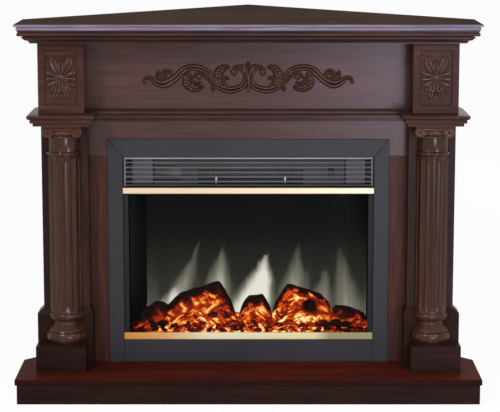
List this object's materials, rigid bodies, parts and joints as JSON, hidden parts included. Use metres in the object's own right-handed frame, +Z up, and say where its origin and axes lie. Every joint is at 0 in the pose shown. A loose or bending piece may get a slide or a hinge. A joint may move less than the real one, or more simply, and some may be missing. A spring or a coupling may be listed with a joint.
{
  "type": "corner fireplace",
  "caption": "Corner electric fireplace: wooden mantel surround with fluted half columns and carved frieze, raised hearth, glass-fronted log fire and louvred drop-down flap.",
  "frame": {"origin": "on the floor, in the middle of the footprint's bounding box", "axes": "+Z up, -Y out of the front into the room, +X to the viewer's right when facing the front"},
  "size_m": [1.244, 0.826, 1.011],
  "materials": {
    "mahogany": "dark mahogany stain under satin lacquer",
    "carved_wood": "carved, dark mahogany stain, satin lacquer with worn high points",
    "plain_board": "unfinished dark board",
    "charcoal_steel": "charcoal powder coat, fine texture",
    "black_steel": "matt black heat-proof paint",
    "brass": "polished pale brass",
    "glass": "clear toughened glass",
    "flame_screen": "smoked screen that shows the flame effect",
    "embers": "lit moulded ember bed",
    "log_resin": "moulded charred log, rough bark",
    "black_plastic": "moulded black plastic",
    "ceramic": "bare technical ceramic",
    "lamp": "warm candle lamps on a ceramic holder",
    "bright_steel": "bright rolled sheet"
  },
  "bodies": {
    "root": {"hearth_board": "mahogany", "plinth_front": "mahogany", "plinth_left": "mahogany", "plinth_right": "mahogany", "side_panel_left": "mahogany", "side_panel_right": "mahogany", "back_panel_left": "plain_board", "back_panel_right": "plain_board", "rear_post": "plain_board", "face_stile_left": "mahogany", "face_stile_right": "mahogany", "frieze_panel": "mahogany", "pilaster_left": "mahogany", "pilaster_right": "mahogany", "rear_pedestal_left": "mahogany", "rear_pedestal_right": "mahogany", "column_pedestal_left": "mahogany", "column_pedestal_right": "mahogany", "column_left": "mahogany", "column_right": "mahogany", "capital_left": "carved_wood", "capital_right": "carved_wood", "frieze_block_left": "mahogany", "frieze_block_right": "mahogany", "rosette_left": "carved_wood", "rosette_right": "carved_wood", "carved_overlay": "carved_wood", "architrave_centre": "mahogany", "architrave_left": "mahogany", "architrave_right": "mahogany", "crown_front": "mahogany", "crown_left": "mahogany", "crown_right": "mahogany", "mantel_shelf": "mahogany", "trim_top": "charcoal_steel", "trim_left": "charcoal_steel", "trim_right": "charcoal_steel", "trim_bottom": "charcoal_steel", "brass_strip_top": "brass", "brass_strip_bottom": "brass", "front_glass": "glass", "case_left": "black_steel", "case_right": "black_steel", "case_floor": "black_steel", "case_top": "black_steel", "case_back": "black_steel", "cord_gland": "black_plastic", "control_panel": "black_steel", "blower_housing": "black_steel", "heating_element": "ceramic", "flame_screen": "flame_screen", "spindle_motor": "black_plastic", "lamp": "lamp", "ember_bed": "embers", "log_left": "log_resin", "log_right": "log_resin"},
    "flap": {"grille_flap": "charcoal_steel"},
    "rocker": {"power_switch": "black_plastic"},
    "fan": {"blower_wheel": "bright_steel"},
    "spindle": {"flame_spindle": "bright_steel"}
  },
  "joints": [
    {"name": "flap_hinge", "type": "hinge", "parent": "root", "child": "flap", "pos_m": [0, -0.2225, 0.562], "axis": [1, 0, 0], "range_deg": [0, 70]},
    {"name": "switch_rocker", "type": "hinge", "parent": "root", "child": "rocker", "pos_m": [0.226, -0.197, 0.594], "axis": [-1, 0, 0], "range_deg": [0, 12]},
    {"name": "fan_spin", "type": "hinge", "parent": "root", "child": "fan", "pos_m": [0, -0.117, 0.6], "axis": [1, 0, 0], "continuous": true},
    {"name": "spindle_spin", "type": "hinge", "parent": "root", "child": "spindle", "pos_m": [0, -0.064, 0.19], "axis": [1, 0, 0], "continuous": true}
  ]
}
